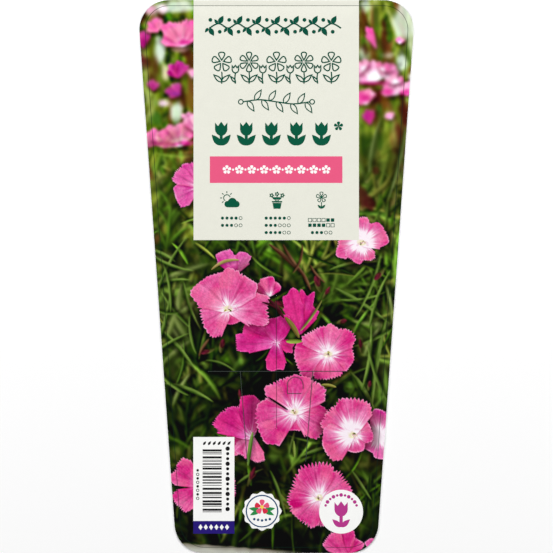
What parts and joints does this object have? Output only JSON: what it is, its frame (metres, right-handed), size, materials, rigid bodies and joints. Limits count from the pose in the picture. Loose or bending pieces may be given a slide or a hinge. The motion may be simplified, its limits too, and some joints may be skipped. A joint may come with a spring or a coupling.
{
  "type": "plant label",
  "caption": "Flat tapered plastic pot label with rounded corners, a scored border and crease, and a die-cut clip tongue; a flower picture is printed on its face.",
  "frame": {"origin": "under the middle of the label, on its back face", "axes": "+Y runs up the label to its wide head, +X to the right of someone who reads it, +Z out of the printed face"},
  "size_m": [0.106, 0.214, 0.0005],
  "materials": {
    "label_stock": "white polypropylene sheet, printed and varnished on its face, satin white on its back"
  },
  "bodies": {
    "root": {"label_sheet": "label_stock"}
  },
  "joints": []
}
